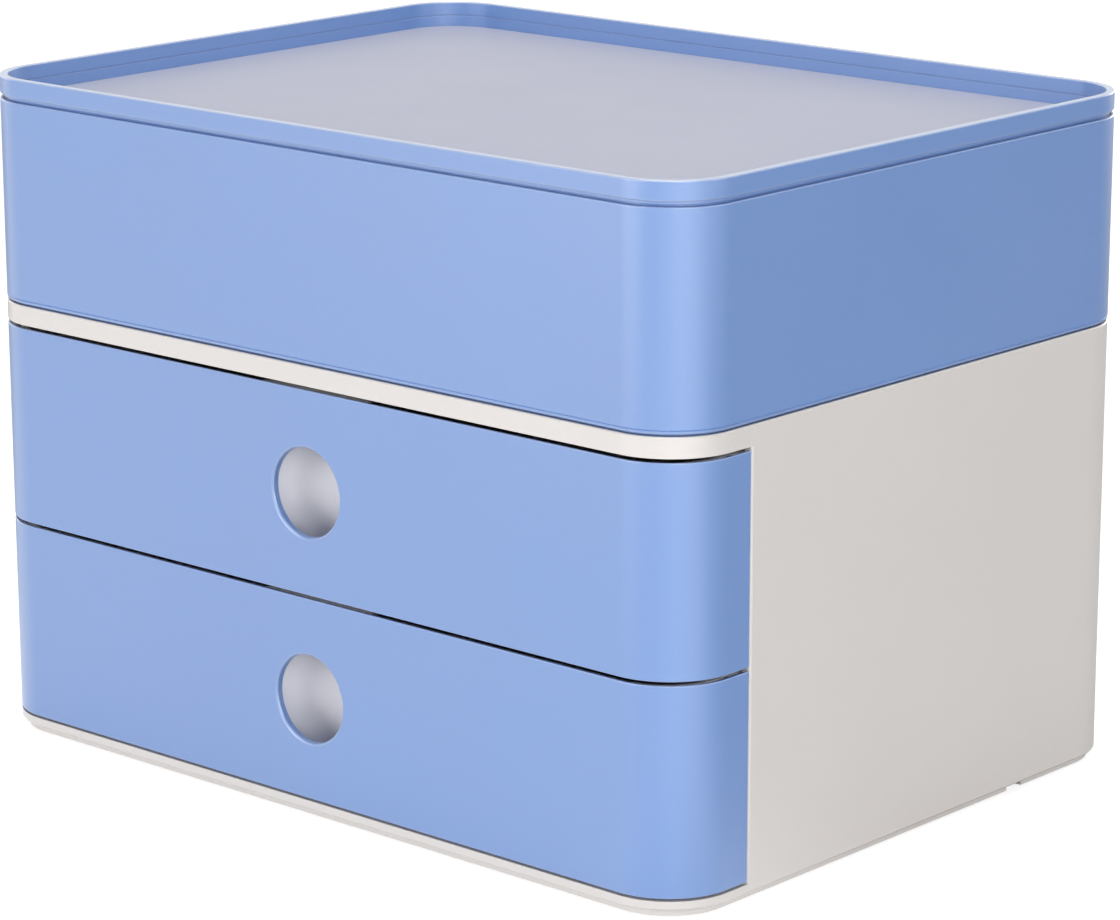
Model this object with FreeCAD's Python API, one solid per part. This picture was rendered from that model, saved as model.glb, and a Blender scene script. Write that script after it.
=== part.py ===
import FreeCAD, Part
import math
import os

# Desktop file box: a white casing with two wrap-front drawers, and on it a lidded utensil box.
# Millimetres, +Z up. The origin is the centre of the footprint, on the surface it stands on.
# X is the width, -Y is the drawer side.

# Footprint that the casing, the drawer fronts, the utensil box and the lid share
WIDTH = 260.0
DEPTH = 195.0
CORNER_RADIUS = 19.5

# How one box stands on another: a ring under the upper one inside a lip round the lower one's sunk top
STACK_LIP = 1.7
STACK_LIP_BEVEL = 0.8
STACK_RING_GAP = 0.3
STACK_RING_WALL = 2.0
STACK_GAP = 0.45

# Rubber feet
FOOT_RADIUS = 6.0
FOOT_PROUD = 0.5
FOOT_INSET_X = 25.0
FOOT_INSET_Y = 22.5

# Casing
CASING_WALL = 2.5
CASING_FLOOR = 2.5
TOP_PLATE = 2.4
RECESS_DEPTH = 2.4
SKIRT_HEIGHT = 2.0
SKIRT_NOTCH_WIDTH = 6.7
SKIRT_NOTCH_TO_REAR = 45.5
CASING_TOP_BEVEL = 0.3
CASING_BOTTOM_BEVEL = 0.5
MOUTH_LIP = 0.7
MOUTH_EDGE_FILLET = 0.9

# Runners and stops inside the casing
RAIL_HEIGHT = 1.5
RAIL_WIDTH = 3.0
RAIL_TO_WALL = 22.0
RAIL_SETBACK = 5.0
LEDGE_WIDTH = 6.0
LEDGE_THICKNESS = 2.0
LEDGE_LEAD_IN = 4.0
SLIDE_GAP = 0.15
STOP_WIDTH = 3.0
STOP_SETBACK = 3.5
STOP_HEIGHT = 24.0
STOP_GAP = 0.4
STOP_CLEARANCE = 0.3

# Drawer fronts
FRONT_HEIGHT = 56.65
FRONT_WALL = 2.2
FRONT_WRAP = 27.75
FRONT_REAR_GAP = 0.25
FRONT_BOTTOM_GAP = 0.6
FRONT_GAP = 0.8
FRONT_TOP_GAP = 0.9
FRONT_BEVEL = 0.35
FINGER_HOLE_RADIUS = 12.3
FINGER_HOLE_FILLET = 0.8
PEG_RADIUS = 2.4
PEG_GAP = 0.1
PEG_HEAD_RADIUS = 3.8
PEG_HEAD = 0.9
PEG_SPACING = 150.0
WRAP_RIB_WIDTH = 1.6
WRAP_RIB_SETBACK = 4.0
WRAP_RIB_GAP = 0.1

# Drawer trays
TRAY_WALL = 1.8
TRAY_FLOOR = 1.8
TRAY_TOP_GAP = 0.95
TRAY_SIDE_GAP = 1.6
TRAY_REAR_GAP = 7.0
TRAY_REAR_RADIUS = 15.0
TRAY_FLOOR_BEVEL = 2.0
TRAY_LUG_TO_REAR = 17.0
WELL_RADIUS = 20.0
WELL_DEPTH = 13.0
WELL_CAP = 1.6

# Utensil box
BOX_HEIGHT = 56.95
BOX_WALL = 2.2
BOX_FLOOR = 2.2
BOX_RIM_WALL = 1.0
BOX_TOP_BEVEL = 0.35
BOX_BOTTOM_BEVEL = 0.5
BOX_FLOOR_BEVEL = 2.0

# Dividers in the utensil box
DIVIDER_THICKNESS = 1.8
DIVIDER_HEIGHT = 42.0
DIVIDER_GAP = 0.15
PEN_BAY_DEPTH = 66.0
CROSS_SPACING = 84.0
GUIDE_RIB_WIDTH = 1.6
GUIDE_RIB_DEPTH = 2.4
GUIDE_GAP = 0.2

# Lid
LID_BAND = 5.15
LID_BAND_BEVEL = 0.35
LID_RIM_BEVEL = 0.4
LID_RIM_INNER_BEVEL = 0.2
LID_LINE_DROP = 3.85
LID_LINE_HEIGHT = 0.35
LID_LINE_DEPTH = 0.3
LID_DISH = 7.35
GROOVE_HEIGHT = 1.1
GROOVE_DEPTH = 1.0
LID_GAP = 0.25
LID_NEST_GAP = 0.25
LID_NEST_WALL = 1.05
LID_SHELF = 1.4
LID_SHELF_WIDTH = 4.2
PLATE_THICKNESS = 1.8
PLATE_GAP = 0.1

# How far a cutting tool runs past what it cuts
OVERRUN = 1.0

# Heights that follow from the stack
skirt_bottom = FOOT_PROUD
shell_bottom = skirt_bottom + SKIRT_HEIGHT
floor_top = shell_bottom + CASING_FLOOR
lower_front_bottom = floor_top + FRONT_BOTTOM_GAP
drawer_pitch = FRONT_HEIGHT + FRONT_GAP
mouth_top = lower_front_bottom + drawer_pitch + FRONT_HEIGHT + FRONT_TOP_GAP
bay_top = mouth_top + MOUTH_LIP
recess_floor = bay_top + TOP_PLATE
casing_top = recess_floor + RECESS_DEPTH
rail_top = floor_top + RAIL_HEIGHT
tray_bottom = rail_top + SLIDE_GAP
tray_height = drawer_pitch - LEDGE_THICKNESS - TRAY_TOP_GAP - SLIDE_GAP
box_bottom = casing_top + STACK_GAP
box_floor_top = box_bottom + BOX_FLOOR
box_top = box_bottom + BOX_HEIGHT
lid_shoulder = box_top + LID_GAP
lid_band_bottom = lid_shoulder + GROOVE_HEIGHT
lid_top = lid_band_bottom + LID_BAND
lid_floor = lid_top - LID_DISH
plate_bottom = lid_floor - PLATE_THICKNESS
lid_foot = plate_bottom - LID_SHELF

# Places in plan
half_width = WIDTH / 2
stack_ring_inset = STACK_LIP + STACK_RING_GAP
front_face = -DEPTH / 2
rear_face = DEPTH / 2
bay_half_width = half_width - CASING_WALL
bay_rear = rear_face - CASING_WALL
front_rear_edge = front_face + FRONT_WRAP
mouth_rear = front_rear_edge + FRONT_REAR_GAP
tray_half_width = bay_half_width - TRAY_SIDE_GAP
tray_front = front_face + FRONT_WALL
tray_rear = bay_rear - TRAY_REAR_GAP
lid_nest_inset = BOX_RIM_WALL + LID_NEST_GAP
lid_dish_inset = lid_nest_inset + LID_NEST_WALL
divider_top = box_floor_top + DIVIDER_HEIGHT
pen_divider_front = front_face + BOX_WALL + PEN_BAY_DEPTH
pen_divider_rear = pen_divider_front + DIVIDER_THICKNESS

SIDES = (-1, 1)
QUARTER_TURN = 90
EIGHTH_TURN = 45
SAME_PLACE = 1e-4


def vector(x, y, z):
    return FreeCAD.Vector(x, y, z)


def rounded_outline(half, front, rear, front_radius, rear_radius, z):
    """A rectangle with rounded corners, as a closed wire seen from above."""
    corners = (
        (half - front_radius, front + front_radius, front_radius, -QUARTER_TURN),
        (half - rear_radius, rear - rear_radius, rear_radius, 0),
        (-half + rear_radius, rear - rear_radius, rear_radius, QUARTER_TURN),
        (-half + front_radius, front + front_radius, front_radius, 2 * QUARTER_TURN),
    )
    arcs = []
    for x, y, radius, start in corners:
        points = []
        for turn in (0, EIGHTH_TURN, QUARTER_TURN):
            angle = math.radians(start + turn)
            points.append(vector(x + radius * math.cos(angle), y + radius * math.sin(angle), z))
        arcs.append(points)
    edges = []
    for index, points in enumerate(arcs):
        edges.append(Part.Arc(*points).toShape())
        edges.append(Part.LineSegment(points[-1], arcs[(index + 1) % len(arcs)][0]).toShape())
    return Part.Wire(edges)


def footprint(inset, z):
    """The shared footprint, drawn in by inset."""
    radius = CORNER_RADIUS - inset
    return rounded_outline(half_width - inset, front_face + inset, rear_face - inset, radius, radius, z)


def raised(wire, height):
    return Part.Face(wire).extrude(vector(0, 0, height))


def slab(inset, low, high):
    """A block with the shared footprint, drawn in by inset, between two heights."""
    return raised(footprint(inset, low), high - low)


def band(outer_inset, inner_inset, low, high):
    """A closed wall that follows the footprint."""
    return slab(outer_inset, low, high).cut(slab(inner_inset, low - OVERRUN, high + OVERRUN))


def block(x_low, x_high, y_low, y_high, z_low, z_high):
    return Part.makeBox(x_high - x_low, y_high - y_low, z_high - z_low, vector(x_low, y_low, z_low))


def side_block(side, inner, outer, y_low, y_high, z_low, z_high):
    """A block between two distances from the middle plane, on the left (-1) or the right (1)."""
    x_low, x_high = sorted((side * inner, side * outer))
    return block(x_low, x_high, y_low, y_high, z_low, z_high)


def upright(x, y, radius, low, high):
    return Part.makeCylinder(radius, high - low, vector(x, y, low))


def level_edges(shape, z, wanted=lambda edge: True):
    """The edges that lie flat at one height."""
    found = []
    for edge in shape.Edges:
        box = edge.BoundBox
        if abs(box.ZMin - z) < SAME_PLACE and abs(box.ZMax - z) < SAME_PLACE and wanted(edge):
            found.append(edge)
    return found


def upright_edges(shape, y):
    """The straight vertical edges at one depth."""
    found = []
    for edge in shape.Edges:
        box = edge.BoundBox
        if abs(box.YMin - y) < SAME_PLACE and abs(box.YMax - y) < SAME_PLACE and box.ZLength > SAME_PLACE:
            if box.XLength < SAME_PLACE:
                found.append(edge)
    return found


def on_footprint(edge, inset=0):
    """True for an edge on the shared footprint, drawn in by inset."""
    middle = edge.valueAt((edge.FirstParameter + edge.LastParameter) / 2)
    nearest = footprint(inset, middle.z).distToShape(Part.Vertex(middle))[0]
    return nearest < SAME_PLACE


def one_solid(shape):
    """The single clean solid that a chain of cuts and joins leaves."""
    clean = shape.removeSplitter()
    if len(clean.Solids) != 1:
        raise ValueError("expected one solid and found %d" % len(clean.Solids))
    return clean.Solids[0]


def drawer_bottoms():
    """The height of each drawer front's lower edge, with the drawer's name."""
    return (("lower", lower_front_bottom), ("upper", lower_front_bottom + drawer_pitch))


def foot_places():
    """Each foot's name and centre."""
    for depth_name, y in (("front", front_face + FOOT_INSET_Y), ("rear", rear_face - FOOT_INSET_Y)):
        for side_name, side in (("left", -1), ("right", 1)):
            yield "foot_%s_%s" % (depth_name, side_name), side * (half_width - FOOT_INSET_X), y


def casing_shell():
    """Outer walls, the sunk top that the utensil box stands in, and the mouth for the drawer fronts."""
    shell = slab(0, shell_bottom, casing_top)
    shell = shell.makeChamfer(CASING_TOP_BEVEL, level_edges(shell, casing_top))
    shell = shell.makeChamfer(CASING_BOTTOM_BEVEL, level_edges(shell, shell_bottom))
    shell = shell.cut(slab(STACK_LIP, recess_floor, casing_top + OVERRUN))
    lip_inside = level_edges(shell, casing_top, lambda edge: on_footprint(edge, STACK_LIP))
    shell = shell.makeChamfer(STACK_LIP_BEVEL, lip_inside)
    shell = shell.cut(slab(CASING_WALL, floor_top, bay_top))
    reach = half_width + OVERRUN
    mouth = block(-reach, reach, front_face - OVERRUN, mouth_rear, floor_top, mouth_top)
    shell = shell.cut(mouth)
    front_ends = [edge for edge in upright_edges(shell, mouth_rear) if on_footprint(edge)]
    return shell.makeFillet(MOUTH_EDGE_FILLET, front_ends)


def casing_skirt():
    """The low ring that the casing stands on, with a notch in each side."""
    skirt = band(stack_ring_inset, stack_ring_inset + STACK_RING_WALL, skirt_bottom, shell_bottom)
    notch_rear = rear_face - SKIRT_NOTCH_TO_REAR
    notch_front = notch_rear - SKIRT_NOTCH_WIDTH
    reach = half_width + OVERRUN
    notch = block(-reach, reach, notch_front, notch_rear, skirt_bottom - OVERRUN, shell_bottom)
    return skirt.cut(notch)


def upper_ledge(side):
    """The side ledge that the upper tray slides on, with a sloping lead-in at its front end."""
    top = rail_top + drawer_pitch
    inner = bay_half_width - LEDGE_WIDTH
    outer = half_width - CASING_WALL / 2
    ledge = side_block(side, inner, outer, mouth_rear, bay_rear, top - LEDGE_THICKNESS, top)
    tip = [
        vector(side * inner, mouth_rear, top),
        vector(side * inner, mouth_rear + LEDGE_LEAD_IN, top),
        vector(side * bay_half_width, mouth_rear, top),
    ]
    corner = Part.Face(Part.makePolygon(tip + tip[:1])).extrude(vector(0, 0, -LEDGE_THICKNESS))
    return ledge.cut(corner).common(slab(CASING_WALL / 2, top - LEDGE_THICKNESS, top))


def floor_rail(side):
    """The rail on the casing's floor that the lower tray slides on."""
    middle = bay_half_width - RAIL_TO_WALL
    return side_block(
        side,
        middle - RAIL_WIDTH / 2,
        middle + RAIL_WIDTH / 2,
        tray_front + RAIL_SETBACK,
        tray_rear,
        shell_bottom + CASING_FLOOR / 2,
        rail_top,
    )


def stop_bounds(front_bottom):
    """The heights between which a casing stop and a tray lug meet."""
    middle = front_bottom + FRONT_HEIGHT / 2
    return middle - STOP_HEIGHT / 2, middle + STOP_HEIGHT / 2


def casing_stop(side, front_bottom):
    """The rib near the mouth that catches the tray's lug when the drawer is fully out."""
    low, high = stop_bounds(front_bottom)
    front = mouth_rear + STOP_SETBACK
    inner = tray_half_width + STOP_GAP
    outer = half_width - CASING_WALL / 2
    return side_block(side, inner, outer, front, front + STOP_WIDTH, low, high)


def casing():
    body = casing_shell().fuse(casing_skirt())
    for side in SIDES:
        body = body.fuse([upper_ledge(side), floor_rail(side)])
        for _, bottom in drawer_bottoms():
            body = body.fuse(casing_stop(side, bottom))
    return one_solid(body)


def foot(x, y):
    """A rubber pad under the casing's floor, a little taller than the skirt round it."""
    return upright(x, y, FOOT_RADIUS, 0, shell_bottom)


def peg_places():
    """How far to the side of the middle plane each peg of a drawer front stands."""
    return [side * PEG_SPACING / 2 for side in SIDES]


def along_y(x, z, radius, y_low, y_high):
    return Part.makeCylinder(radius, y_high - y_low, vector(x, y_low, z), vector(0, 1, 0))


def drawer_front(bottom):
    """The wrap-round front: a U in plan with a finger hole, staked to the tray by two pegs."""
    top = bottom + FRONT_HEIGHT
    middle = (bottom + top) / 2
    reach = half_width + OVERRUN
    front = band(0, FRONT_WALL, bottom, top)
    front = front.common(block(-reach, reach, front_face - OVERRUN, front_rear_edge, bottom, top))
    rims = level_edges(front, bottom, on_footprint) + level_edges(front, top, on_footprint)
    rims += [edge for edge in upright_edges(front, front_rear_edge) if on_footprint(edge)]
    front = front.makeChamfer(FRONT_BEVEL, rims)
    front = front.cut(along_y(0, middle, FINGER_HOLE_RADIUS, front_face - OVERRUN, tray_front + OVERRUN))
    mouth = [
        edge
        for edge in front.Edges
        if abs(edge.BoundBox.YMax - front_face) < SAME_PLACE
        and abs(edge.BoundBox.ZLength - 2 * FINGER_HOLE_RADIUS) < SAME_PLACE
        and edge.BoundBox.XLength > FINGER_HOLE_RADIUS
    ]
    front = front.makeFillet(FINGER_HOLE_FILLET, mouth)
    wall_middle = front_face + FRONT_WALL / 2
    wall_inside = tray_front + TRAY_WALL
    for x in peg_places():
        peg = along_y(x, middle, PEG_RADIUS, wall_middle, wall_inside)
        head = along_y(x, middle, PEG_HEAD_RADIUS, wall_inside, wall_inside + PEG_HEAD)
        front = front.fuse([peg, head])
    for side in SIDES:
        rear = front_rear_edge - WRAP_RIB_SETBACK
        rib = side_block(
            side,
            tray_half_width + WRAP_RIB_GAP,
            half_width - FRONT_WALL / 2,
            rear - WRAP_RIB_WIDTH,
            rear,
            bottom + FRONT_BEVEL + SLIDE_GAP,
            top - FRONT_BEVEL - SLIDE_GAP,
        )
        front = front.fuse(rib)
    return one_solid(front)


def tray_outline(inset, z):
    front_radius = CORNER_RADIUS - FRONT_WALL - inset
    return rounded_outline(
        tray_half_width - inset,
        tray_front + inset,
        tray_rear - inset,
        front_radius,
        TRAY_REAR_RADIUS - inset,
        z,
    )


def drawer_tray(front_bottom):
    """The white tray, with a finger well moulded into its front wall and a stop lug on each side."""
    bottom = tray_bottom + front_bottom - lower_front_bottom
    top = bottom + tray_height
    floor = bottom + TRAY_FLOOR
    tray = raised(tray_outline(0, bottom), tray_height)
    hollow = raised(tray_outline(TRAY_WALL, floor), top + OVERRUN - floor)
    hollow = hollow.makeChamfer(TRAY_FLOOR_BEVEL, level_edges(hollow, floor))
    well_y = tray_front + WELL_DEPTH - WELL_RADIUS
    bulge = upright(0, well_y, WELL_RADIUS + TRAY_WALL, bottom, top)
    bulge = bulge.common(raised(tray_outline(TRAY_WALL / 2, bottom), tray_height))
    tray = tray.cut(hollow).fuse(bulge)
    tray = tray.cut(upright(0, well_y, WELL_RADIUS, floor, top - WELL_CAP))
    middle = front_bottom + FRONT_HEIGHT / 2
    wall_inside = tray_front + TRAY_WALL
    for x in peg_places():
        hole = along_y(x, middle, PEG_RADIUS + PEG_GAP, tray_front - OVERRUN, wall_inside + OVERRUN)
        tray = tray.cut(hole)
    low, high = stop_bounds(front_bottom)
    lug_front = tray_rear - TRAY_LUG_TO_REAR
    for side in SIDES:
        lug = side_block(
            side,
            tray_half_width - TRAY_WALL / 2,
            bay_half_width - STOP_GAP,
            lug_front - STOP_WIDTH,
            lug_front,
            low,
            high,
        )
        tray = tray.fuse(lug)
    return one_solid(tray)


def drawer_travel():
    """How far a drawer slides out before its lugs meet the casing's stops."""
    stop_rear = mouth_rear + STOP_SETBACK + STOP_WIDTH
    lug_front = tray_rear - TRAY_LUG_TO_REAR - STOP_WIDTH
    return lug_front - stop_rear - STOP_CLEARANCE


def guide_offsets():
    """How far each rib of a guide pair stands from the divider's middle, as its near and far face."""
    near = DIVIDER_THICKNESS / 2 + GUIDE_GAP
    return near, near + GUIDE_RIB_WIDTH


def box_guides():
    """Pairs of upright ribs that hold the dividers: one pair on each end wall, two on the rear wall."""
    near, far = guide_offsets()
    reach = BOX_WALL + GUIDE_RIB_DEPTH
    inside = BOX_WALL / 2
    outer = half_width - inside
    low = box_bottom + BOX_FLOOR / 2
    pen_middle = (pen_divider_front + pen_divider_rear) / 2
    ribs = []
    for side in SIDES:
        for step in SIDES:
            y_low, y_high = sorted((pen_middle + step * near, pen_middle + step * far))
            ribs.append(side_block(side, half_width - reach, outer, y_low, y_high, low, divider_top))
            middle = side * CROSS_SPACING / 2
            x_low, x_high = sorted((middle + step * near, middle + step * far))
            ribs.append(block(x_low, x_high, rear_face - reach, rear_face - inside, low, divider_top))
    return ribs


def utensil_box():
    """The blue box: a ring below stands in the casing's sunk top, a rebate above takes the lid."""
    box = slab(0, box_bottom, box_top)
    box = box.makeChamfer(BOX_TOP_BEVEL, level_edges(box, box_top))
    box = box.makeChamfer(BOX_BOTTOM_BEVEL, level_edges(box, box_bottom))
    hollow = slab(BOX_WALL, box_floor_top, box_top + OVERRUN)
    hollow = hollow.makeChamfer(BOX_FLOOR_BEVEL, level_edges(hollow, box_floor_top))
    rebate = slab(BOX_RIM_WALL, lid_foot, box_top + OVERRUN)
    ring = band(stack_ring_inset, stack_ring_inset + STACK_RING_WALL, recess_floor, box_bottom)
    return one_solid(box.cut([hollow, rebate]).fuse([ring] + box_guides()))


def pen_divider():
    """The long divider between the pen bay and the small bays, with guide ribs for the cross dividers."""
    near, far = guide_offsets()
    end = half_width - BOX_WALL - DIVIDER_GAP
    wall = block(-end, end, pen_divider_front, pen_divider_rear, box_floor_top, divider_top)
    for side in SIDES:
        corner = side_block(
            side,
            end - BOX_FLOOR_BEVEL,
            end + OVERRUN,
            pen_divider_front - OVERRUN,
            pen_divider_rear + OVERRUN,
            box_floor_top - OVERRUN,
            box_floor_top + BOX_FLOOR_BEVEL,
        )
        wall = wall.cut(corner)
        for step in SIDES:
            middle = side * CROSS_SPACING / 2
            x_low, x_high = sorted((middle + step * near, middle + step * far))
            y_low = (pen_divider_front + pen_divider_rear) / 2
            y_high = pen_divider_rear + GUIDE_RIB_DEPTH
            rib = block(x_low, x_high, y_low, y_high, box_floor_top, divider_top)
            wall = wall.fuse(rib)
    return one_solid(wall)


def cross_divider(side):
    """A short divider between the long one and the rear wall."""
    middle = side * CROSS_SPACING / 2
    half = DIVIDER_THICKNESS / 2
    front = pen_divider_rear + DIVIDER_GAP
    rear = rear_face - BOX_WALL - DIVIDER_GAP
    wall = block(middle - half, middle + half, front, rear, box_floor_top, divider_top)
    corner = block(
        middle - half - OVERRUN,
        middle + half + OVERRUN,
        rear - BOX_FLOOR_BEVEL,
        rear + OVERRUN,
        box_floor_top - OVERRUN,
        box_floor_top + BOX_FLOOR_BEVEL,
    )
    return one_solid(wall.cut(corner))


def lid_frame():
    """The blue frame: a band outside, a wall with a fine line round it inside, a shelf for the plate."""
    frame = slab(0, lid_band_bottom, lid_top)
    frame = frame.makeChamfer(LID_BAND_BEVEL, level_edges(frame, lid_band_bottom))
    frame = frame.makeChamfer(LID_RIM_BEVEL, level_edges(frame, lid_top))
    frame = frame.fuse(slab(GROOVE_DEPTH, lid_shoulder, lid_band_bottom + LID_BAND_BEVEL))
    frame = frame.fuse(slab(lid_nest_inset, lid_foot, lid_shoulder))
    dish = slab(lid_dish_inset, plate_bottom, lid_top + OVERRUN)
    window = slab(lid_dish_inset + LID_SHELF_WIDTH, lid_foot - OVERRUN, plate_bottom)
    frame = one_solid(frame.cut([dish, window]))
    inner_rim = level_edges(frame, lid_top, lambda edge: not on_footprint(edge, LID_RIM_BEVEL))
    frame = frame.makeChamfer(LID_RIM_INNER_BEVEL, inner_rim)
    line_top = lid_top - LID_LINE_DROP
    line_inset = lid_dish_inset - LID_LINE_DEPTH
    line = band(line_inset, lid_dish_inset + OVERRUN, line_top - LID_LINE_HEIGHT, line_top)
    return one_solid(frame.cut(line))


def lid_plate():
    """The light plate that lies in the frame and makes the top of the box a tray."""
    return slab(lid_dish_inset + PLATE_GAP, plate_bottom, lid_floor)


def build():
    nodes = {"casing": casing()}
    for name, x, y in foot_places():
        nodes[name] = foot(x, y)
    for name, bottom in drawer_bottoms():
        nodes[name + "_drawer_front"] = drawer_front(bottom)
        nodes[name + "_drawer_tray"] = drawer_tray(bottom)
    nodes["utensil_box"] = utensil_box()
    nodes["pen_divider"] = pen_divider()
    nodes["cross_divider_left"] = cross_divider(-1)
    nodes["cross_divider_right"] = cross_divider(1)
    nodes["lid_frame"] = lid_frame()
    nodes["lid_plate"] = lid_plate()
    return nodes


os.makedirs("parts", exist_ok=True)
for node_name, solid in build().items():
    if not solid.isValid():
        raise ValueError(node_name + " is not a valid solid")
    solid.exportStep(os.path.join("parts", node_name + ".step"))
    print("%-22s %9.1f mm3" % (node_name, solid.Volume))
print("drawer travel %.2f mm, height %.2f mm" % (drawer_travel(), lid_top))
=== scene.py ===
import math

import bmesh
import bpy
from mathutils import Matrix, Vector


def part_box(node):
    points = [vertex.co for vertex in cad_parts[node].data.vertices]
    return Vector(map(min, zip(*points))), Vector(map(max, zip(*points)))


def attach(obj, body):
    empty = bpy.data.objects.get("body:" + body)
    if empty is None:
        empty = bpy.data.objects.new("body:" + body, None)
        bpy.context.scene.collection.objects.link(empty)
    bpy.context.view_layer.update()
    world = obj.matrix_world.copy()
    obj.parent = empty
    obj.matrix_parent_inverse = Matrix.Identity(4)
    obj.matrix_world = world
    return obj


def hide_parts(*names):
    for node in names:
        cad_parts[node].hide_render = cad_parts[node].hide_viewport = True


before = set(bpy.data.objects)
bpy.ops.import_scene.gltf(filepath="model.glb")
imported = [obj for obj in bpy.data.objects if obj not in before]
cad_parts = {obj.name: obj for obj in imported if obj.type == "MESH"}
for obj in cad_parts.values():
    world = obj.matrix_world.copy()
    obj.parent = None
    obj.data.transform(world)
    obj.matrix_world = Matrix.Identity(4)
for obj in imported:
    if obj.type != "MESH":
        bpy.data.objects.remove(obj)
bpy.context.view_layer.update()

# The photograph's camera. Pixels are counted in its frame, and places are in metres.
FRAME_WIDTH_PX = 1120
FRAME_HEIGHT_PX = 920
CENTRE_X_PX = 560.0
CENTRE_Y_PX = 516.5
FOCAL_LENGTH_PX = 4241.2
SENSOR_WIDTH_MM = 36.0
CAMERA_PLACE = (0.77704, -0.86336, 0.37945)
CAMERA_AZIMUTH = 41.862
CAMERA_ELEVATION = 15.141
CAMERA_ROLL = -0.107
CAMERA_NEAR = 0.05
CAMERA_FAR = 50.0

# Colours, in linear light
WHITE_PLASTIC = (0.619, 0.585, 0.562)
BLUE_PLASTIC = (0.106, 0.222, 0.512)
TRAY_WHITE = (0.860, 0.845, 0.880)
PLATE_GREY = (0.400, 0.412, 0.506)
FOOT_GREY = (0.050, 0.050, 0.052)
STUDIO_WHITE = (1.0, 1.0, 1.0)
FLOOR_WHITE = (0.55, 0.55, 0.55)

# The floor: half its side, and its level, a hair under the feet
FLOOR_HALF = 6.0
FLOOR_LEVEL = -0.0001

# Lamps: name, azimuth and elevation seen from the box, distance, width, height, power. The powers were fitted
# to how bright each face of the box is in the photograph.
LAMP_AIM = Vector((0.0, 0.0, 0.09))
LAMPS = (
    ("left_softbox", -18.0, 8.0, 1.8, 1.0, 1.0, 18.6),
    ("front_softbox", 38.0, 14.0, 1.8, 1.0, 1.0, 3.5),
    ("right_softbox", 60.0, 16.0, 1.8, 1.0, 1.0, 14.0),
    ("side_softbox", 104.0, 12.0, 1.8, 1.0, 1.0, 7.4),
    ("top_softbox", 0.0, 89.0, 1.8, 1.2, 1.2, 23.2),
    ("back_softbox", 180.0, 8.0, 1.8, 1.2, 1.0, 8.5),
    ("far_left_softbox", -88.0, 8.0, 1.8, 1.0, 1.0, 4.5),
)

# The world's light, and how much the floor glows for the camera alone: near the box, where it keeps the box's
# shadow, and far from it, with the distances between which the glow rises
WORLD_STRENGTH = 0.08
FLOOR_GLOW = 0.75
FAR_GLOW = 1.0
GLOW_NEAR = 0.5
GLOW_FAR = 2.0

# What the gloss mirrors of the floor, a painted reflection: the floor glows for glossy rays alone, white in
# front of the box, fading out along Y between two places.
# It rises along X between two more, so that the rounded corner on the right shows a brighter painted
# reflection.
MIRROR_GLOW = 1.0
MIRROR_FRONT = -0.14
MIRROR_BACK = 0.02
MIRROR_LEFT = 0.0
MIRROR_RIGHT = 0.22
MIRROR_RISE = 1.5

# Sizes of the modelled shells, in millimetres as in the part under them
MM = 0.001
CORNER_RADIUS = 19.5
CORNER_STEPS = 20
ROUND_STEPS = 5
SEAM_ANGLE = 40.0
SAME_PLACE = 1e-7

# Drawer fronts
FRONT_WALL = 2.2
FRONT_EDGE_ROUND = 0.4
FRONT_TOP_FALL = 0.7
HOLE_RADIUS = 12.3
HOLE_EDGE_ROUND = 0.8
HOLE_REAR_ROUND = 0.3
HOLE_STEPS = 96
PEG_RADIUS = 2.4
PEG_HEAD_RADIUS = 3.8
PEG_HEAD = 0.9
PEG_DOME_SHARE = 0.7
PEG_OFFSET = 75.0
PEG_STEPS = 32
RIB_WIDTH = 1.6
RIB_SETBACK = 4.0
RIB_TRIM = 0.5
RIB_REACH = 1.7
RIB_ROUND = 0.25
RIB_SEGMENTS = 2
ROUND_PROFILE = 0.5

# Drawer trays
TRAY_WALL = 1.8
TRAY_FLOOR = 1.8
TRAY_FRONT_RADIUS = 17.3
TRAY_REAR_RADIUS = 15.0
TRAY_RIM_ROUND = 0.4
TRAY_FOOT_ROUND = 0.6
WELL_RADIUS = 20.0
WELL_DEPTH = 13.0
WELL_CAP = 1.6
WELL_STEPS = 40
WELL_END_STEPS = 3
LUG_TO_REAR = 17.0
LUG_DEPTH = 3.0
LUG_HEIGHT = 24.0
LUG_REACH = 1.2

# Utensil box
BOX_HEIGHT = 56.95
BOX_WALL = 2.2
BOX_FLOOR = 2.2
RIM_WALL = 1.0
RIM_ROUND = 0.42
BOX_FOOT_ROUND = 0.8
FOOT_LINE_RISE = 1.0
FOOT_LINE_HEIGHT = 0.26
FOOT_LINE_DEPTH = 0.16
FLOOR_ROUND = 2.0
FLOOR_FIELD = 8.0
RING_OUTER = 2.0
RING_INNER = 4.0
RING_ROUND = 0.3
GUIDE_DEPTH = 2.4
GUIDE_WIDTH = 1.6
GUIDE_NEAR = 1.1
GUIDE_HEIGHT = 42.0
CROSS_OFFSET = 42.0
DIVIDER_GAP = 0.15

# Lid frame
LID_BAND = 5.15
LID_EDGE_ROUND = 0.42
LID_RIM_WIDTH = 2.35
LID_INNER_ROUND = 0.3
LAND_DROP = 0.12
LINE_DROP = 3.85
LINE_HEIGHT = 0.35
LINE_DEPTH = 0.3
GROOVE_DEPTH = 1.0
GROOVE_HEIGHT = 0.85
SLOT_HEIGHT = 0.6
SLOT_DEPTH = 1.9
NEST_INSET = 1.25
SHELF_WIDTH = 4.2
SHELF_THICKNESS = 1.4
SMALL_ROUND = 0.12

# Plastics: roughness, and size and depth of the grain in metres
GLOSSY = (0.40, 0.0011, 0.000006)
MOULDED = (0.48, 0.0007, 0.000012)
FINE_MATT = (0.52, 0.0006, 0.00002)
RUBBERY = (0.72, 0.0009, 0.00005)
COLOUR_DRIFT = 0.025
RUBBER_DRIFT = 0.12
PLATE_SPECULAR = 0.7
RUBBER_SPECULAR = 0.4
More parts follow.
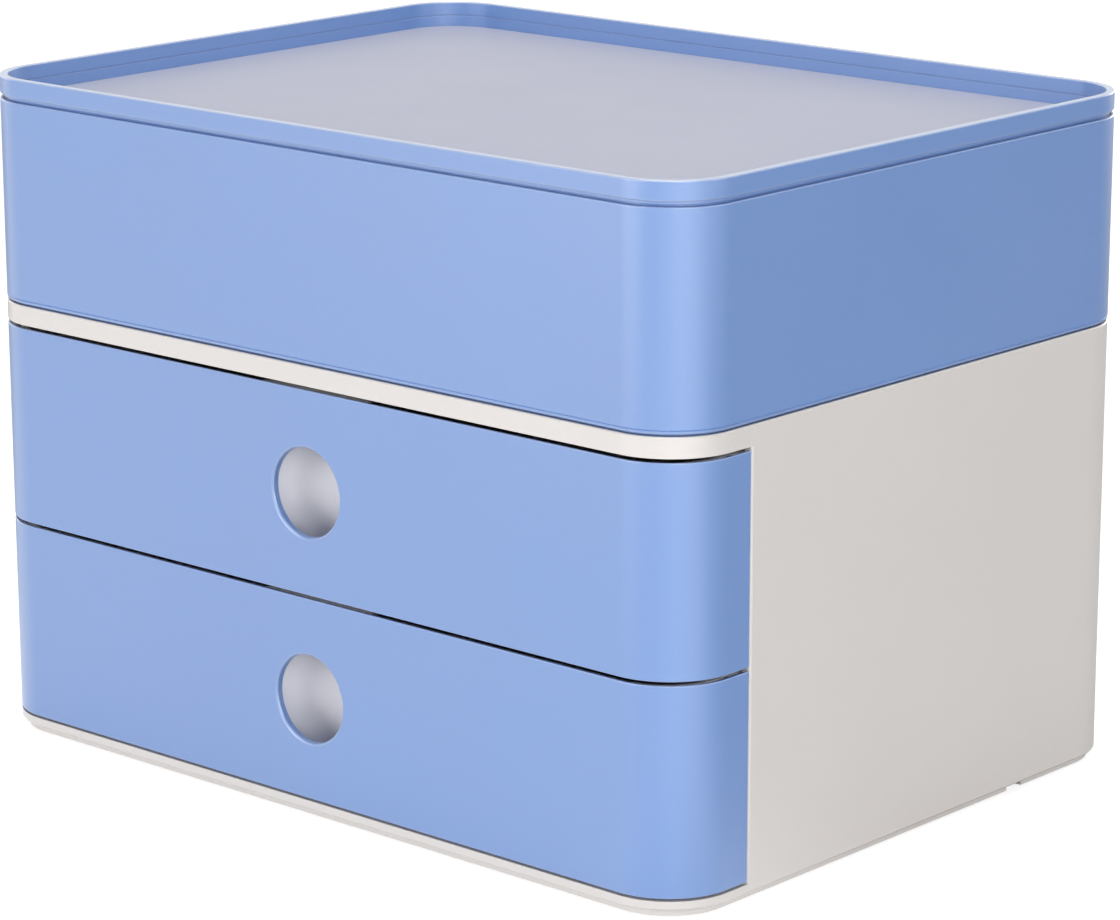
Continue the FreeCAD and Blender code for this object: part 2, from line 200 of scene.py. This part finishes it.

# Surface detail: noise scales per metre and octaves, the usual spread of a noise, how far edges are
# lightened, partly as rubbed wear and partly as a painted highlight
FLOW_SCALE = 9.0
FLOW_DETAIL = 3.0
GRAIN_DETAIL = 4.0
SMEAR_SCALE = 28.0
SMEAR_DETAIL = 5.0
NOISE_LOW = 0.3
NOISE_HIGH = 0.7
SPECKLE_SHARE = 0.35
GLOSS_SPREAD = 0.035
BUMP_STRENGTH = 0.6
EDGE_NAME = "edge"
EDGE_RUB_AND_HIGHLIGHT = 0.14
RUB_AND_HIGHLIGHT_LEAST = 0.8
PALE_RUB_AND_HIGHLIGHT = (0.86, 0.88, 0.92)
# The lid rim's share and pale colour: a painted highlight on its top land, and rubbing with a painted
# highlight on its rounded edges
RIM_RUB_AND_HIGHLIGHT = 0.32
RIM_PALE_AND_HIGHLIGHT = (0.72, 0.70, 0.68)

# The glossy skin of the casing and the blue pieces, as a clear coat
SKIN = 0.8
SKIN_ROUGHNESS = 0.33

# Sockets of Blender's mix node when it mixes colours
MIX_SHARE = 0
MIX_FIRST = 6
MIX_SECOND = 7
MIX_RESULT = 2


def new_material(name):
    material = bpy.data.materials.new(name)
    material.use_nodes = True
    material.node_tree.nodes.clear()
    return material, material.node_tree


def add_node(tree, kind, **settings):
    node = tree.nodes.new(kind)
    for key, value in settings.items():
        if isinstance(value, (int, float, tuple)) and key in node.inputs:
            node.inputs[key].default_value = value
        else:
            setattr(node, key, value)
    return node


def add_noise(tree, place, scale, detail):
    noise = add_node(tree, "ShaderNodeTexNoise", Scale=scale, Detail=detail)
    tree.links.new(place.outputs["Object"], noise.inputs["Vector"])
    return noise.outputs["Fac"]


def add_range(tree, source, low, high):
    spread = add_node(tree, "ShaderNodeMapRange")
    for index, value in enumerate((NOISE_LOW, NOISE_HIGH, low, high), start=1):
        spread.inputs[index].default_value = value
    tree.links.new(source, spread.inputs[0])
    return spread.outputs[0]


def add_blend(tree, share, first, second, how="MIX"):
    """Blends two colours, each a socket or a plain colour, by a share that is a socket or a number."""
    blend = add_node(tree, "ShaderNodeMix", data_type="RGBA", blend_type=how)
    for index, value in ((MIX_SHARE, share), (MIX_FIRST, first), (MIX_SECOND, second)):
        if isinstance(value, float):
            blend.inputs[index].default_value = value
        elif isinstance(value, tuple):
            blend.inputs[index].default_value = (*value, 1.0)
        else:
            tree.links.new(value, blend.inputs[index])
    return blend.outputs[MIX_RESULT]


def scaled(colour, factor):
    return tuple(min(value * factor, 1.0) for value in colour)


def plastic(name, colour, surface, drift=COLOUR_DRIFT, specular=1.0, skin=0.0, rub_and_highlight=EDGE_RUB_AND_HIGHLIGHT, pale_and_highlight=PALE_RUB_AND_HIGHLIGHT):
    """Moulded plastic: colour drift from the melt flow, fine grain, uneven gloss, edges paler and glossier,
    partly rubbed wear and partly a painted highlight.
    """
    roughness, grain, depth = surface
    material, tree = new_material(name)
    output = add_node(tree, "ShaderNodeOutputMaterial")
    shader = add_node(tree, "ShaderNodeBsdfPrincipled")
    shader.inputs["Specular IOR Level"].default_value = specular
    shader.inputs["Coat Weight"].default_value = skin
    shader.inputs["Coat Roughness"].default_value = SKIN_ROUGHNESS
    tree.links.new(shader.outputs["BSDF"], output.inputs["Surface"])
    place = add_node(tree, "ShaderNodeTexCoord")
    flow = add_noise(tree, place, FLOW_SCALE, FLOW_DETAIL)
    fine = add_noise(tree, place, 1.0 / grain, GRAIN_DETAIL)
    smear = add_noise(tree, place, SMEAR_SCALE, SMEAR_DETAIL)
    edge = add_node(tree, "ShaderNodeAttribute", attribute_name=EDGE_NAME)
    shades = (scaled(colour, 1 - drift), scaled(colour, 1 + drift))
    ground = add_blend(tree, add_range(tree, flow, 0.0, 1.0), *shades)
    speckle = add_blend(tree, add_range(tree, fine, 0.0, 1.0), *shades)
    mottled = add_blend(tree, SPECKLE_SHARE, ground, speckle)
    # Convex rounded edges blend towards a pale colour and turn glossier: partly rubbed wear, partly a painted
    # highlight
    rubbed_and_highlit = add_node(tree, "ShaderNodeMath", operation="MULTIPLY")
    tree.links.new(edge.outputs["Fac"], rubbed_and_highlit.inputs[0])
    tree.links.new(add_range(tree, smear, rub_and_highlight * RUB_AND_HIGHLIGHT_LEAST, rub_and_highlight), rubbed_and_highlit.inputs[1])
    tree.links.new(add_blend(tree, rubbed_and_highlit.outputs[0], mottled, pale_and_highlight), shader.inputs["Base Color"])
    gloss = add_node(tree, "ShaderNodeMath", operation="SUBTRACT")
    uneven = add_range(tree, smear, roughness - GLOSS_SPREAD, roughness + GLOSS_SPREAD)
    tree.links.new(uneven, gloss.inputs[0])
    tree.links.new(rubbed_and_highlit.outputs[0], gloss.inputs[1])
    tree.links.new(gloss.outputs[0], shader.inputs["Roughness"])
    bump = add_node(tree, "ShaderNodeBump", Strength=BUMP_STRENGTH, Distance=depth)
    tree.links.new(fine, bump.inputs["Height"])
    tree.links.new(bump.outputs["Normal"], shader.inputs["Normal"])
    return material


def dress(material, *names):
    for name in names:
        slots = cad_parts[name].data.materials
        slots.clear()
        slots.append(material)


def soft_profile(corners, steps=ROUND_STEPS):
    """Rounds the corners of a section that runs up outside and down inside. Gives inset, height, exposure."""
    points = []
    for index, (inset, height, radius) in enumerate(corners):
        if radius == 0:
            points.append((inset, height, 0.0))
            continue
        here = Vector((inset, height))
        before = Vector(corners[index - 1][:2]) - here
        after = Vector(corners[(index + 1) % len(corners)][:2]) - here
        half_angle = before.angle(after) / 2
        inwards = (before.normalized() + after.normalized()).normalized()
        middle = here + inwards * (radius / math.sin(half_angle))
        start = here + before.normalized() * (radius / math.tan(half_angle)) - middle
        end = here + after.normalized() * (radius / math.tan(half_angle)) - middle
        outward = before.cross(after) > 0
        full_turn = math.pi - 2 * half_angle
        for step in range(steps + 1):
            turn = full_turn * step / steps
            spoke = (start * math.sin(full_turn - turn) + end * math.sin(turn)) / math.sin(full_turn)
            exposure = math.sin(math.pi * step / steps) if outward else 0.0
            points.append((*(middle + spoke), exposure))
    return points


def outline_path(half, front, rear, front_radius=CORNER_RADIUS, rear_radius=CORNER_RADIUS):
    """Corner centres, outward directions and radii of a rounded rectangle, or its front if rear is None."""
    corners = [(front_radius - half, front + front_radius, 180, front_radius)]
    corners += [(half - front_radius, front + front_radius, 270, front_radius)]
    if rear is not None:
        corners += [(half - rear_radius, rear - rear_radius, 0, rear_radius)]
        corners += [(rear_radius - half, rear - rear_radius, 90, rear_radius)]
    path = []
    for x, y, first, radius in corners:
        for step in range(CORNER_STEPS + 1):
            turn = math.radians(first + 90 * step / CORNER_STEPS)
            path.append((x, y, math.cos(turn), math.sin(turn), radius))
    return path


class Shell:
    """A mesh in the making, in millimetres, with a mark on each point for how exposed it is. The mark
    lightens edges, partly as rubbing and partly as a painted highlight.
    """

    def __init__(self, name):
        self.name = name
        self.mesh = bmesh.new()
        self.mark = self.mesh.verts.layers.float.new(EDGE_NAME)

    def point(self, x, y, z, exposure=0.0):
        vertex = self.mesh.verts.new((x, y, z))
        vertex[self.mark] = exposure
        return vertex

    def face(self, points):
        return self.mesh.faces.new(points)

    def ring(self, place, section, push=0.0, pushed_from=0):
        """Sets a section at a place of a path. push moves the points from pushed_from on to the back."""
        x, y, dir_x, dir_y, radius = place
        points = []
        for index, (inset, height, exposure) in enumerate(section):
            reach = radius - inset
            back = push if index >= pushed_from else 0.0
            points.append(self.point(x + dir_x * reach, y + dir_y * reach + back, height, exposure))
        return points

    def join(self, rings, round_trip, closed_section, skip=()):
        """Skins neighbouring rings with quads. skip names quads that are left out."""
        count = len(rings[0])
        for index in range(len(rings) if round_trip else len(rings) - 1):
            here, there = rings[index], rings[(index + 1) % len(rings)]
            for step in range(count if closed_section else count - 1):
                if (index, step) in skip:
                    continue
                following = (step + 1) % count
                self.face((here[step], there[step], there[following], here[following]))

    def lathe_y(self, x, z, outline, steps):
        """Turns an outline of radius, depth and exposure about an axis that runs along Y. Gives its rings."""
        spokes = [math.tau * step / steps for step in range(steps)]
        rings = []
        for radius, y, exposure in outline:
            rings.append([
                self.point(x + radius * math.cos(turn), y, z + radius * math.sin(turn), exposure)
                for turn in spokes
            ])
        self.join(rings, False, True)
        return rings

    def rib(self, low, high, radius):
        """An upright rib with rounded edges."""
        made = bmesh.ops.create_cube(self.mesh, size=1.0)["verts"]
        for vertex in made:
            vertex.co = [(a if c < 0 else b) for a, b, c in zip(low, high, vertex.co)]
        edges = {edge for vertex in made for edge in vertex.link_edges}
        bmesh.ops.bevel(
            self.mesh, geom=list(edges), offset=radius, offset_type="OFFSET", segments=RIB_SEGMENTS,
            profile=ROUND_PROFILE, affect="EDGES",
        )

    def finish(self, body, replaced, material):
        """Turns the shell into a smooth shaded piece that stands for a CAD node."""
        bmesh.ops.remove_doubles(self.mesh, verts=self.mesh.verts, dist=SAME_PLACE / MM)
        bmesh.ops.scale(self.mesh, vec=(MM, MM, MM), verts=self.mesh.verts)
        bmesh.ops.recalc_face_normals(self.mesh, faces=self.mesh.faces)
        seam = math.radians(SEAM_ANGLE)
        for edge in self.mesh.edges:
            edge.smooth = edge.is_manifold and edge.calc_face_angle() < seam
        for face in self.mesh.faces:
            face.smooth = True
        data = bpy.data.meshes.new(self.name)
        self.mesh.to_mesh(data)
        self.mesh.free()
        data.materials.append(material)
        piece = bpy.data.objects.new(self.name, data)
        bpy.context.scene.collection.objects.link(piece)
        shading = piece.modifiers.new("even_shading", "WEIGHTED_NORMAL")
        shading.keep_sharp = True
        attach(piece, body)
        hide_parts(replaced)
        return piece


def node_box(node):
    """A node's corners at rest, in millimetres."""
    return [[value / MM for value in corner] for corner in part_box(node)]


def wall_section(shrink, low, high):
    """The section of a drawer front, drawn in by shrink all round. Its top falls inwards."""
    radius = FRONT_EDGE_ROUND - shrink
    sides = ((shrink, low + shrink), (shrink, high - shrink))
    sides += ((FRONT_WALL - shrink, high - FRONT_TOP_FALL - shrink), (FRONT_WALL - shrink, low + shrink))
    return soft_profile([(inset, height, max(radius, SAME_PLACE)) for inset, height in sides])


def hole_outline(front):
    """The finger hole's wall from the face inwards, as radius, depth and exposure."""
    outline = []
    for step in range(ROUND_STEPS * 2 + 1):
        turn = math.radians(90 * step / (ROUND_STEPS * 2))
        radius = HOLE_RADIUS + HOLE_EDGE_ROUND * (1 - math.sin(turn))
        outline.append((radius, front + HOLE_EDGE_ROUND * (1 - math.cos(turn)), math.sin(2 * turn)))
    rear = front + FRONT_WALL
    for step in range(ROUND_STEPS + 1):
        turn = math.radians(90 * step / ROUND_STEPS)
        radius = HOLE_RADIUS + HOLE_REAR_ROUND * (1 - math.cos(turn))
        outline.append((radius, rear - HOLE_REAR_ROUND * (1 - math.sin(turn)), 0.0))
    return outline


def peg_outline(front):
    """A staking peg from inside the wall to its domed head, as radius, depth and exposure."""
    seat = front + FRONT_WALL + TRAY_WALL
    outline = [(PEG_RADIUS, front + FRONT_WALL / 2, 0.0), (PEG_RADIUS, seat, 0.0)]
    for step in range(ROUND_STEPS + 1):
        turn = math.radians(90 * step / ROUND_STEPS)
        radius = PEG_HEAD_RADIUS * math.cos(turn * PEG_DOME_SHARE)
        outline.append((radius, seat + PEG_HEAD * math.sin(turn), 0.0))
    return outline


def panel_with_hole(shell, corners, ring):
    """Fills a flat upright panel between its corners and a ring in it. Both run the same way round."""
    quarter = len(ring) // 4
    for side in range(4):
        start = side * quarter
        arc = [ring[(start + step) % len(ring)] for step in range(quarter + 1)]
        shell.face([corners[side], corners[(side + 1) % 4]] + arc[::-1])


def drawer_front(name, material):
    box = node_box(name + "_drawer_front")
    low, high = box[0][2], box[1][2]
    front = box[0][1]
    wrap_rear = box[1][1]
    shell = Shell(name + "_front_panel")
    path = outline_path(box[1][0], front, None)
    rings = [shell.ring(place, wall_section(0.0, low, high)) for place in path]
    for end, direction in ((0, -1), (-1, 1)):
        x = path[end][0]
        for step in range(ROUND_STEPS + 1):
            turn = math.radians(90 * step / ROUND_STEPS)
            shrink = FRONT_EDGE_ROUND * (1 - math.cos(turn))
            y = wrap_rear - FRONT_EDGE_ROUND * (1 - math.sin(turn))
            ring = shell.ring((x, y, direction, 0.0, CORNER_RADIUS), wall_section(shrink, low, high))
            if direction < 0:
                rings.insert(0, ring)
            else:
                rings.append(ring)
        shell.face(rings[end])
    middle = (low + high) / 2
    # The flat quads between both corners, outside and inside, are left open for the panels with the hole
    per_corner = ROUND_STEPS + 1
    run = per_corner + CORNER_STEPS
    outer_step = per_corner - 1
    inner_step = 3 * per_corner - 1
    shell.join(rings, False, True, skip={(run, outer_step), (run, inner_step)})
    hole_rings = shell.lathe_y(0.0, middle, hole_outline(front), HOLE_STEPS)
    for step, ring in ((outer_step, hole_rings[0]), (inner_step, hole_rings[-1])):
        corners = [rings[run][step], rings[run + 1][step], rings[run + 1][step + 1], rings[run][step + 1]]
        corners.sort(key=lambda vertex: math.atan2(vertex.co.z - middle, vertex.co.x))
        # The lower left corner comes first. It lies five eighths of a turn round the ring.
        start = HOLE_STEPS * 5 // 8
        panel_with_hole(shell, corners, ring[start:] + ring[:start])
    for x in (-PEG_OFFSET, PEG_OFFSET):
        peg_rings = shell.lathe_y(x, middle, peg_outline(front), PEG_STEPS)
        shell.face(peg_rings[0])
        shell.face(peg_rings[-1])
    for side in (-1, 1):
        outer = side * (box[1][0] - FRONT_WALL / 2)
        inner = side * (box[1][0] - FRONT_WALL - RIB_REACH)
        rear = wrap_rear - RIB_SETBACK
        low_corner = (min(outer, inner), rear - RIB_WIDTH, low + RIB_TRIM)
        high_corner = (max(outer, inner), rear, high - FRONT_TOP_FALL - RIB_TRIM)
        shell.rib(low_corner, high_corner, RIB_ROUND)
    return shell.finish(name + "_drawer", name + "_drawer_front", material)


def well_places(radius, reach):
    """How far to the side each section across the well stands, evenly round its curve."""
    span = math.asin(reach / radius)
    return [radius * math.sin(span * (2 * step / WELL_STEPS - 1)) for step in range(WELL_STEPS + 1)]


def drawer_tray(name, material):
    """The white tray. Its front wall bulges inwards round a pocket, the finger well."""
    box = node_box(name + "_drawer_tray")
    front_box = node_box(name + "_drawer_front")
    half = box[1][0] - LUG_REACH
    front, rear = box[0][1], box[1][1]
    low, high = box[0][2], box[1][2]
    floor = low + TRAY_FLOOR
    cap = high - WELL_CAP
    section = soft_profile([
        (FLOOR_FIELD, low, 0),
        (0, low, TRAY_FOOT_ROUND),
        (0, floor, 0),
        (0, cap, 0),
        (0, high, TRAY_RIM_ROUND),
        (TRAY_WALL, high, TRAY_RIM_ROUND),
        (TRAY_WALL, floor, FLOOR_ROUND),
        (FLOOR_FIELD, floor, 0),
    ])
    pocket_step = section.index((0, floor, 0.0))
    inside = next(step for step, point in enumerate(section) if point[1] > cap and point[0] > TRAY_WALL / 2)
    middle = front + WELL_DEPTH - WELL_RADIUS
    pocket_reach = math.sqrt(WELL_RADIUS**2 - (front - middle) ** 2)
    bulge_radius = WELL_RADIUS + TRAY_WALL
    bulge_rise = front + TRAY_WALL - middle
    bulge_reach = math.sqrt(bulge_radius**2 - bulge_rise**2)
    pocket = well_places(WELL_RADIUS, pocket_reach)
    end_step = (bulge_reach - pocket_reach) / WELL_END_STEPS
    ends = [pocket_reach + end_step * step for step in range(1, WELL_END_STEPS + 1)]
    shell = Shell(name + "_tray_shell")
    path = outline_path(half, front, rear, TRAY_FRONT_RADIUS, TRAY_REAR_RADIUS)
    rings = [shell.ring(place, section) for place in path]
    across = []
    for x in [-end for end in reversed(ends)] + pocket + ends:
        push = max(math.sqrt(max(bulge_radius**2 - x * x, 0.0)) - bulge_rise, 0.0)
        place = (x, front + TRAY_FRONT_RADIUS, 0.0, -1.0, TRAY_FRONT_RADIUS)
        across.append(shell.ring(place, section, push, inside))
    first = CORNER_STEPS + 1
    rings[first:first] = across
    start = first + WELL_END_STEPS
    shell.join(rings, True, False, skip={(start + step, pocket_step) for step in range(WELL_STEPS)})
    shell.face([ring[0] for ring in rings])
    shell.face([ring[-1] for ring in rings])
    edges = []
    for level in (pocket_step, pocket_step + 1):
        near = [rings[start + step][level] for step in range(WELL_STEPS + 1)]
        height = section[level][1]
        far = [shell.point(x, middle + math.sqrt(WELL_RADIUS**2 - x * x), height) for x in pocket[1:-1]]
        far = near[:1] + far + near[-1:]
        for step in range(WELL_STEPS):
            shell.face(list(dict.fromkeys((near[step], near[step + 1], far[step + 1], far[step]))))
        edges.append(far)
    for step in range(WELL_STEPS):
        shell.face((edges[0][step], edges[0][step + 1], edges[1][step + 1], edges[1][step]))
    lug_middle = (front_box[0][2] + front_box[1][2]) / 2
    lug_rear = rear - LUG_TO_REAR
    for side in (-1, 1):
        x_low, x_high = sorted((side * (half - TRAY_WALL / 2), side * box[1][0]))
        low_corner = (x_low, lug_rear - LUG_DEPTH, lug_middle - LUG_HEIGHT / 2)
        shell.rib(low_corner, (x_high, lug_rear, lug_middle + LUG_HEIGHT / 2), RIB_ROUND)
    return shell.finish(name + "_drawer", name + "_drawer_tray", material)


def guide_ribs(shell, box, low, high):
    """Pairs of upright ribs on the box's walls that hold the dividers."""
    pen_box = node_box("pen_divider")
    pen_middle = (pen_box[0][1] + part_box("cross_divider_left")[0][1] / MM - DIVIDER_GAP) / 2
    reach = BOX_WALL + GUIDE_DEPTH
    for side in (-1, 1):
        for step in (-1, 1):
            near, far = sorted((step * GUIDE_NEAR, step * (GUIDE_NEAR + GUIDE_WIDTH)))
            x_low, x_high = sorted((side * (box[1][0] - reach), side * (box[1][0] - BOX_WALL / 2)))
            shell.rib((x_low, pen_middle + near, low), (x_high, pen_middle + far, high), RIB_ROUND)
            middle = side * CROSS_OFFSET
            y_high = box[1][1] - BOX_WALL / 2
            shell.rib((middle + near, box[1][1] - reach, low), (middle + far, y_high, high), RIB_ROUND)


def utensil_box(material):
    box = node_box("utensil_box")
    ring_low, top = box[0][2], box[1][2]
    low = top - BOX_HEIGHT
    floor = low + BOX_FLOOR
    rebate = node_box("lid_frame")[0][2]
    line = low + FOOT_LINE_RISE
    section = soft_profile([
        (FLOOR_FIELD, low, 0),
        (RING_INNER, low, RING_ROUND),
        (RING_INNER, ring_low, RING_ROUND),
        (RING_OUTER, ring_low, RING_ROUND),
        (RING_OUTER, low, SMALL_ROUND),
        (0, low, BOX_FOOT_ROUND),
        (0, line, 0),
        (FOOT_LINE_DEPTH, line + FOOT_LINE_HEIGHT / 2, 0),
        (0, line + FOOT_LINE_HEIGHT, 0),
        (0, top, RIM_ROUND),
        (RIM_WALL, top, RING_ROUND),
        (RIM_WALL, rebate, SMALL_ROUND),
        (BOX_WALL, rebate, RING_ROUND),
        (BOX_WALL, floor, FLOOR_ROUND),
        (FLOOR_FIELD, floor, 0),
    ])
    shell = Shell("utensil_box_shell")
    rings = [shell.ring(place, section) for place in outline_path(box[1][0], box[0][1], box[1][1])]
    shell.join(rings, True, False)
    shell.face([ring[0] for ring in rings])
    shell.face([ring[-1] for ring in rings])
    guide_ribs(shell, box, floor - BOX_FLOOR / 2, floor + GUIDE_HEIGHT)
    return shell.finish("utensil_box", "utensil_box", material)


def lid_frame(material):
    box = node_box("lid_frame")
    foot, top = box[0][2], box[1][2]
    band_low = top - LID_BAND
    shoulder = band_low - GROOVE_HEIGHT
    shelf = foot + SHELF_THICKNESS
    line = top - LINE_DROP
    section = soft_profile([
        (0, band_low, LID_EDGE_ROUND),
        (0, top, LID_EDGE_ROUND),
        (LID_RIM_WIDTH, top, LID_INNER_ROUND),
        (LID_RIM_WIDTH, line, SMALL_ROUND),
        (LID_RIM_WIDTH - LINE_DEPTH, line, SMALL_ROUND),
        (LID_RIM_WIDTH - LINE_DEPTH, line - LINE_HEIGHT, SMALL_ROUND),
        (LID_RIM_WIDTH, line - LINE_HEIGHT, SMALL_ROUND),
        (LID_RIM_WIDTH, shelf, SMALL_ROUND),
        (LID_RIM_WIDTH + SHELF_WIDTH, shelf, RING_ROUND),
        (LID_RIM_WIDTH + SHELF_WIDTH, foot, RING_ROUND),
        (NEST_INSET, foot, RING_ROUND),
        (NEST_INSET, shoulder - SLOT_HEIGHT, SMALL_ROUND),
        (SLOT_DEPTH, shoulder - SLOT_HEIGHT, SMALL_ROUND),
        (SLOT_DEPTH, shoulder, SMALL_ROUND),
        (GROOVE_DEPTH, shoulder, SMALL_ROUND),
        (GROOVE_DEPTH, band_low, SMALL_ROUND),
    ])
    # The rim's whole top land is marked fully exposed, so the rim material paints it pale: a painted
    # highlight
    land = top - LAND_DROP
    section = [(inset, height, 1.0 if height > land else exposure) for inset, height, exposure in section]
    shell = Shell("lid_frame_shell")
    rings = [shell.ring(place, section) for place in outline_path(box[1][0], box[0][1], box[1][1])]
    shell.join(rings, True, True)
    return shell.finish("lid", "lid_frame", material)


def make_camera():
    azimuth = math.radians(CAMERA_AZIMUTH)
    elevation = math.radians(CAMERA_ELEVATION)
    back = Vector((
        math.sin(azimuth) * math.cos(elevation),
        -math.cos(azimuth) * math.cos(elevation),
        math.sin(elevation),
    ))
    right = Vector((0, 0, 1)).cross(back).normalized()
    up = back.cross(right)
    turn = Matrix((right, up, back)).transposed() @ Matrix.Rotation(math.radians(CAMERA_ROLL), 3, "Z")
    data = bpy.data.cameras.new("camera")
    data.sensor_width = SENSOR_WIDTH_MM
    data.lens = FOCAL_LENGTH_PX * SENSOR_WIDTH_MM / FRAME_WIDTH_PX
    data.shift_x = (FRAME_WIDTH_PX / 2 - CENTRE_X_PX) / FRAME_WIDTH_PX
    data.shift_y = (CENTRE_Y_PX - FRAME_HEIGHT_PX / 2) / FRAME_WIDTH_PX
    data.clip_start = CAMERA_NEAR
    data.clip_end = CAMERA_FAR
    camera = bpy.data.objects.new("camera", data)
    camera.matrix_world = Matrix.Translation(CAMERA_PLACE) @ turn.to_4x4()
    bpy.context.scene.collection.objects.link(camera)
    bpy.context.scene.camera = camera


def make_lamps():
    for name, azimuth, elevation, distance, width, height, power in LAMPS:
        turn = math.radians(azimuth)
        rise = math.radians(elevation)
        way = Vector((math.sin(turn) * math.cos(rise), -math.cos(turn) * math.cos(rise), math.sin(rise)))
        data = bpy.data.lights.new(name, "AREA")
        data.shape = "RECTANGLE"
        data.size = width
        data.size_y = height
        data.energy = power
        lamp = bpy.data.objects.new(name, data)
        lamp.location = LAMP_AIM + way * distance
        lamp.rotation_mode = "QUATERNION"
        lamp.rotation_quaternion = way.to_track_quat("Z", "Y")
        bpy.context.scene.collection.objects.link(lamp)


def make_world():
    world = bpy.data.worlds.new("studio")
    bpy.context.scene.world = world
    world.use_nodes = True
    tree = world.node_tree
    tree.nodes.clear()
    output = add_node(tree, "ShaderNodeOutputWorld")
    light = add_node(tree, "ShaderNodeBackground")
    seen = add_node(tree, "ShaderNodeBackground")
    mix = add_node(tree, "ShaderNodeMixShader")
    path = add_node(tree, "ShaderNodeLightPath")
    either = add_node(tree, "ShaderNodeMath", operation="MAXIMUM")
    tree.links.new(path.outputs["Is Camera Ray"], either.inputs[0])
    tree.links.new(path.outputs["Is Glossy Ray"], either.inputs[1])
    light.inputs["Color"].default_value = (*STUDIO_WHITE, 1.0)
    light.inputs["Strength"].default_value = WORLD_STRENGTH
    seen.inputs["Color"].default_value = (*STUDIO_WHITE, 1.0)
    seen.inputs["Strength"].default_value = 1.0
    tree.links.new(either.outputs[0], mix.inputs["Fac"])
    tree.links.new(light.outputs["Background"], mix.inputs[1])
    tree.links.new(seen.outputs["Background"], mix.inputs[2])
    tree.links.new(mix.outputs["Shader"], output.inputs["Surface"])


def make_floor():
    mesh = bpy.data.meshes.new("floor")
    quarters = ((-1, -1), (1, -1), (1, 1), (-1, 1))
    corners = [(x * FLOOR_HALF, y * FLOOR_HALF, FLOOR_LEVEL) for x, y in quarters]
    mesh.from_pydata(corners, [], [(0, 1, 2, 3)])
    floor = bpy.data.objects.new("floor", mesh)
    bpy.context.scene.collection.objects.link(floor)
    material, tree = new_material("floor_white")
    output = add_node(tree, "ShaderNodeOutputMaterial")
    shader = add_node(tree, "ShaderNodeBsdfDiffuse")
    shader.inputs["Color"].default_value = (*FLOOR_WHITE, 1.0)
    glow = add_node(tree, "ShaderNodeEmission")
    both = add_node(tree, "ShaderNodeAddShader")
    path = add_node(tree, "ShaderNodeLightPath")
    share = add_node(tree, "ShaderNodeMath", operation="MULTIPLY")
    tree.links.new(path.outputs["Is Camera Ray"], share.inputs[0])
    place = add_node(tree, "ShaderNodeTexCoord")
    distance = add_node(tree, "ShaderNodeVectorMath", operation="LENGTH")
    tree.links.new(place.outputs["Object"], distance.inputs[0])
    lift = add_node(tree, "ShaderNodeMapRange", interpolation_type="SMOOTHSTEP")
    for index, value in enumerate((GLOW_NEAR, GLOW_FAR, FLOOR_GLOW, FAR_GLOW), start=1):
        lift.inputs[index].default_value = value
    tree.links.new(distance.outputs["Value"], lift.inputs[0])
    tree.links.new(lift.outputs[0], share.inputs[1])
    split = add_node(tree, "ShaderNodeSeparateXYZ")
    tree.links.new(place.outputs["Object"], split.inputs[0])
    fade = add_node(tree, "ShaderNodeMapRange", interpolation_type="SMOOTHSTEP")
    for index, value in enumerate((MIRROR_FRONT, MIRROR_BACK, MIRROR_GLOW, 0.0), start=1):
        fade.inputs[index].default_value = value
    tree.links.new(split.outputs["Y"], fade.inputs[0])
    rise = add_node(tree, "ShaderNodeMapRange", interpolation_type="SMOOTHSTEP")
    for index, value in enumerate((MIRROR_LEFT, MIRROR_RIGHT, 1.0, MIRROR_RISE), start=1):
        rise.inputs[index].default_value = value
    tree.links.new(split.outputs["X"], rise.inputs[0])
    mirrored = add_node(tree, "ShaderNodeMath", operation="MULTIPLY")
    tree.links.new(fade.outputs[0], mirrored.inputs[0])
    tree.links.new(rise.outputs[0], mirrored.inputs[1])
    # Glossy rays alone see this glow: a painted reflection on the box's gloss
    total = add_node(tree, "ShaderNodeMath", operation="MULTIPLY_ADD")
    tree.links.new(path.outputs["Is Glossy Ray"], total.inputs[0])
    tree.links.new(mirrored.outputs[0], total.inputs[1])
    tree.links.new(share.outputs[0], total.inputs[2])
    tree.links.new(total.outputs[0], glow.inputs["Strength"])
    tree.links.new(shader.outputs[0], both.inputs[0])
    tree.links.new(glow.outputs[0], both.inputs[1])
    tree.links.new(both.outputs[0], output.inputs["Surface"])
    mesh.materials.append(material)


white = plastic("casing_white", WHITE_PLASTIC, GLOSSY, skin=SKIN)
blue = plastic("front_blue", BLUE_PLASTIC, GLOSSY, skin=SKIN)
rim = plastic("rim_blue", BLUE_PLASTIC, GLOSSY, skin=SKIN, rub_and_highlight=RIM_RUB_AND_HIGHLIGHT, pale_and_highlight=RIM_PALE_AND_HIGHLIGHT)
tray = plastic("tray_white", TRAY_WHITE, MOULDED)
plate = plastic("plate_grey", PLATE_GREY, FINE_MATT, specular=PLATE_SPECULAR)
rubber = plastic("foot_rubber", FOOT_GREY, RUBBERY, drift=RUBBER_DRIFT, specular=RUBBER_SPECULAR)
dress(white, "casing")
drawer_front("lower", blue)
drawer_front("upper", blue)
drawer_tray("lower", tray)
drawer_tray("upper", tray)
utensil_box(blue)
lid_frame(rim)
dress(tray, "pen_divider", "cross_divider_left", "cross_divider_right")
dress(plate, "lid_plate")
dress(rubber, "foot_front_left", "foot_front_right", "foot_rear_left", "foot_rear_right")
make_camera()
make_lamps()
make_world()
make_floor()
bpy.context.scene.view_settings.view_transform = "Standard"
